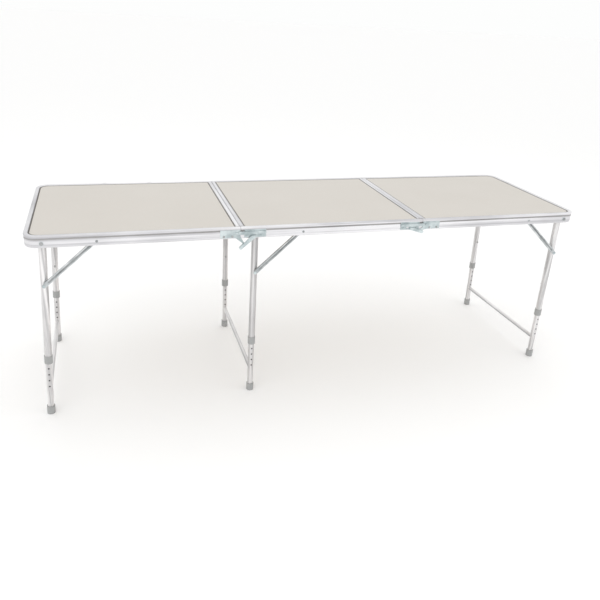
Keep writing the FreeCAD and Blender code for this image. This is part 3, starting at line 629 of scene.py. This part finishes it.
def rib_tree():
    """Stack of round ribs about Y."""
    tree, given, result = new_tree("rib_stack", [
        ("Ring Radius", "NodeSocketFloat", 0.014), ("Wire Radius", "NodeSocketFloat", 0.0006),
        ("Start", "NodeSocketFloat", 0.0), ("Pitch", "NodeSocketFloat", 0.004),
        ("Count", "NodeSocketInt", 4), ("Finish", "NodeSocketMaterial", None)])
    ring = tree.nodes.new("GeometryNodeCurvePrimitiveCircle")
    ring.inputs["Resolution"].default_value = 32
    tree.links.new(given.outputs["Ring Radius"], ring.inputs["Radius"])
    wire = tree.nodes.new("GeometryNodeCurvePrimitiveCircle")
    wire.inputs["Resolution"].default_value = 8
    tree.links.new(given.outputs["Wire Radius"], wire.inputs["Radius"])
    rib = tree.nodes.new("GeometryNodeCurveToMesh")
    tree.links.new(ring.outputs["Curve"], rib.inputs["Curve"])
    tree.links.new(wire.outputs["Curve"], rib.inputs["Profile Curve"])
    tip = tree.nodes.new("GeometryNodeTransform")
    tip.inputs["Rotation"].default_value = (math.pi / 2, 0, 0)
    tree.links.new(rib.outputs["Mesh"], tip.inputs["Geometry"])
    start = tree.nodes.new("ShaderNodeCombineXYZ")
    tree.links.new(given.outputs["Start"], start.inputs["Y"])
    step = tree.nodes.new("ShaderNodeCombineXYZ")
    tree.links.new(given.outputs["Pitch"], step.inputs["Y"])
    row = tree.nodes.new("GeometryNodeMeshLine")
    tree.links.new(given.outputs["Count"], row.inputs["Count"])
    tree.links.new(start.outputs[0], row.inputs["Start Location"])
    tree.links.new(step.outputs[0], row.inputs["Offset"])
    copies = tree.nodes.new("GeometryNodeInstanceOnPoints")
    tree.links.new(row.outputs["Mesh"], copies.inputs["Points"])
    tree.links.new(tip.outputs["Geometry"], copies.inputs["Instance"])
    finish_tree(tree, given, result, copies.outputs["Instances"])
    return tree


RIB_TREE = rib_tree()
COLLAR_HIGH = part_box("leg_2_collars")[1].z
FOOT_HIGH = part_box("leg_2_feet")[1].z
CUP_RADIUS = (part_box("leg_2_feet")[1].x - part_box("leg_2_feet")[0].x) / 2
RIB_WIRE = 0.0007
RIB_SUNK = 0.0005
RIB_MARGIN = 0.004
COLLAR_RIBS = (0.0044, 6)
FOOT_RIBS = (0.0036, 5)
for leg, side_name in LEGS:
    rows = (("collar_ribs", f"{leg}_frame", COLLAR_HIGH, COLLAR_RIBS),
            ("foot_ribs", f"{leg}_lower", FOOT_HIGH, FOOT_RIBS))
    for part, body, high, (pitch, count) in rows:
        stack = grow(RIB_TREE, seed, Ring_Radius=CUP_RADIUS - RIB_SUNK, Wire_Radius=RIB_WIRE,
                     Start=PIVOT_HIGH - high + RIB_MARGIN, Pitch=pitch, Count=count,
                     Finish=GREY_PLASTIC)
        show(f"{leg}_{part}", gather(stack, tube_frames(side_name), f"{leg}_{part}"), body)


# ---------------------------------------------------------------- stays, hinges and levers
# Pressed steel, with a bluish zinc plating on the hinges and levers and a duller coat on
# the stays. Each is cut from sheet, bent and riveted, and a rivet ends in a low dome.
ZINC_LIGHT = (0.68, 0.745, 0.755)
ZINC_DARK = (0.42, 0.485, 0.50)


def zinc_finish(name, roughness):
    """Bluish zinc plating with soft clouds."""
    made, tree, shader, places = start_finish(name, roughness, 0.85)
    drawn = use_effect(tree, DRAWN_LINES_AND_REFLECTION, places, Stretch=(160, 160, 160), Cloud=45.0)
    tone_colour(tree, shader, drawn["Tone"], ZINC_LIGHT, ZINC_DARK)
    rough_range(tree, shader, drawn["Tone"], roughness - 0.1, roughness + 0.15)
    relief(tree, shader, drawn["Height"], 0.00006)
    return made


ZINC = zinc_finish("zinc_plate", 0.38)
dress([name for name in frame["nodes"]
       if name.startswith("seam_") or name.endswith("_rivets")], ZINC)
STAY_STEEL = metal_finish("stay_steel", (0.70, 0.72, 0.73), (0.42, 0.45, 0.46), (240, 240, 240),
                          0.4)
dress([f"{leg}_stays" for leg, _ in LEGS], STAY_STEEL)


def dome_tree():
    """Low domed head on each point of the source, rounded towards its normal side."""
    tree, given, result = new_tree("rivet_domes", [
        ("Radius", "NodeSocketFloat", 0.0045), ("Rise", "NodeSocketFloat", 0.001),
        ("Finish", "NodeSocketMaterial", None)])
    ball = tree.nodes.new("GeometryNodeMeshUVSphere")
    ball.inputs["Segments"].default_value = 20
    ball.inputs["Rings"].default_value = 10
    ball.inputs["Radius"].default_value = 1.0
    size = tree.nodes.new("ShaderNodeCombineXYZ")
    tree.links.new(given.outputs["Radius"], size.inputs["X"])
    tree.links.new(given.outputs["Rise"], size.inputs["Y"])
    tree.links.new(given.outputs["Radius"], size.inputs["Z"])
    copies = tree.nodes.new("GeometryNodeInstanceOnPoints")
    tree.links.new(given.outputs["Geometry"], copies.inputs["Points"])
    tree.links.new(ball.outputs["Mesh"], copies.inputs["Instance"])
    tree.links.new(size.outputs[0], copies.inputs["Scale"])
    finish_tree(tree, given, result, copies.outputs["Instances"])
    return tree


DOME_TREE = dome_tree()
HEAD_STEEL = metal_finish("rivet_head", (0.50, 0.505, 0.51), (0.30, 0.305, 0.31), (300, 300, 300),
                          0.42)


def domes(name, spots, radius, rise, body):
    """Domed heads at the given points, which lie on the flat heads."""
    mesh = bpy.data.meshes.new(name + "_spots")
    mesh.from_pydata([tuple(spot) for spot in spots], [], [])
    source = bpy.data.objects.new(name + "_spots", mesh)
    bpy.context.scene.collection.objects.link(source)
    made = grow(DOME_TREE, source, Radius=radius, Rise=rise, Finish=HEAD_STEEL)
    bpy.data.objects.remove(source)
    return show(name, made, body)


def loose_parts(node):
    """Boxes of the separate solids of a carried-over piece."""
    made = bmesh.new()
    made.from_mesh(frame["nodes"][node].data)
    bmesh.ops.remove_doubles(made, verts=made.verts, dist=1e-6)
    left = set(made.verts)
    boxes = []
    while left:
        found = [left.pop()]
        member = list(found)
        while found:
            for edge in found.pop().link_edges:
                for vert in edge.verts:
                    if vert in left:
                        left.discard(vert)
                        found.append(vert)
                        member.append(vert)
        low = Vector([min(v.co[i] for v in member) for i in range(3)])
        high = Vector([max(v.co[i] for v in member) for i in range(3)])
        boxes.append((low, high))
    made.free()
    return boxes


PIVOT_HEAD = 0.014
SMALL_HEAD = 0.009
HEAD_SLACK = 0.0008


def head_spots(node, wide):
    """Points at the middle of the outer heads that have the given width."""
    for low, high in loose_parts(node):
        if abs((high.x - low.x) - wide) < HEAD_SLACK:
            side = 1 if high.y > 0 else -1
            outer = high.y if side > 0 else low.y
            yield Vector(((low.x + high.x) / 2, outer, (low.z + high.z) / 2))


# The strips' dark grey stands in for the shade inside the stay channel: painted shade.
SHADE_LINER = metal_finish("stay_liner", (0.46, 0.47, 0.475), (0.26, 0.27, 0.275), (90, 90, 90), 0.5)
LINER_BACK = 0.0017
LINER_THICK = 0.0006
LINER_HALF = 0.0053
LINER_INSET = 0.012


def stay_liner(leg):
    """Thin strips that close the slots of a pair of stays from the inside, in a dark grey that is
    painted shade inside the channel.
    """
    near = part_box(f"{leg}_stays")[1].y - LINER_BACK
    start = min(head_spots(f"{leg}_stay_rivets", SMALL_HEAD), key=lambda spot: spot.z)
    end = min(head_spots(f"{leg}_rail_rivets", SMALL_HEAD), key=lambda spot: spot.y)
    run = Vector((end.x - start.x, 0, end.z - start.z))
    along = run.normalized()
    across = Vector((0, 1, 0)).cross(along)
    made = bmesh.new()
    for side in (-1, 1):
        strip = bmesh.ops.create_cube(made, size=1.0)["verts"]
        turn = Matrix((along, Vector((0, 1, 0)), across)).transposed().to_4x4()
        size = Matrix.Diagonal((run.length - 2 * LINER_INSET, LINER_THICK, 2 * LINER_HALF, 1))
        middle = Vector((start.x, 0, start.z)) + run / 2
        middle.y = side * (near - LINER_THICK / 2)
        bmesh.ops.transform(made, matrix=Matrix.Translation(middle) @ turn @ size, verts=strip)
    mesh = bpy.data.meshes.new(f"{leg}_stay_liners")
    made.to_mesh(mesh)
    made.free()
    mesh.materials.append(SHADE_LINER)
    return mesh


for leg, _ in LEGS:
    show(f"{leg}_stay_liners", stay_liner(leg), body_of(frame["nodes"][f"{leg}_stays"])[0],
         smooth=False)
# radius and rise of each kind of dome
PIVOT_DOME = (0.0064, 0.0018)
SLOT_DOME = (0.0041, 0.0013)
FIXING_DOME = (0.0041, 0.0012)
for leg, body in (("leg_1", "left_panel"), ("leg_2", "middle_panel"), ("leg_3", "right_panel")):
    # the middle leg's pivot heads lie flush in the seam leaves
    if leg != "leg_2":
        domes(f"{leg}_pivot_domes", head_spots(f"{leg}_rail_rivets", PIVOT_HEAD), *PIVOT_DOME,
              body)
    domes(f"{leg}_slot_domes", head_spots(f"{leg}_rail_rivets", SMALL_HEAD), *SLOT_DOME, body)
for seam, side in (("seam_1", "left"), ("seam_2", "right")):
    domes(f"{seam}_outer_domes", head_spots(f"{seam}_outer_fixings", SMALL_HEAD),
          *FIXING_DOME, f"{side}_panel")


# ---------------------------------------------------------------- carrying handle
# Dark brown-grey moulded grip with finger ribs. It hangs between two small brackets on
# the rear rail and swings out on their pins.
HANDLE_PLASTIC = plastic_finish("dark_moulding", (0.085, 0.075, 0.07), (0.035, 0.03, 0.028), 0.45)
dress(["handle_brackets", "handle_grip"], HANDLE_PLASTIC)
grip_low, grip_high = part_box("handle_grip")
GRIP_RADIUS = (grip_high.y - grip_low.y) / 2
GRIP_RIBS = 9
GRIP_PITCH = 0.009
GRIP_SUNK = 0.0002
GRIP_WIRE = 0.0006
grip_centre = Vector(((grip_low.x + grip_high.x) / 2, (grip_low.y + grip_high.y) / 2,
                      grip_low.z + GRIP_RADIUS))
along_x = Matrix(((0, 1, 0), (1, 0, 0), (0, 0, -1))).to_4x4()
ribs = grow(RIB_TREE, seed, Ring_Radius=GRIP_RADIUS - GRIP_SUNK, Wire_Radius=GRIP_WIRE,
            Start=-GRIP_PITCH * (GRIP_RIBS - 1) / 2, Pitch=GRIP_PITCH, Count=GRIP_RIBS,
            Finish=HANDLE_PLASTIC)
show("grip_ribs", gather(ribs, [Matrix.Translation(grip_centre) @ along_x], "grip_ribs"),
     "handle")
bpy.data.objects.remove(seed)
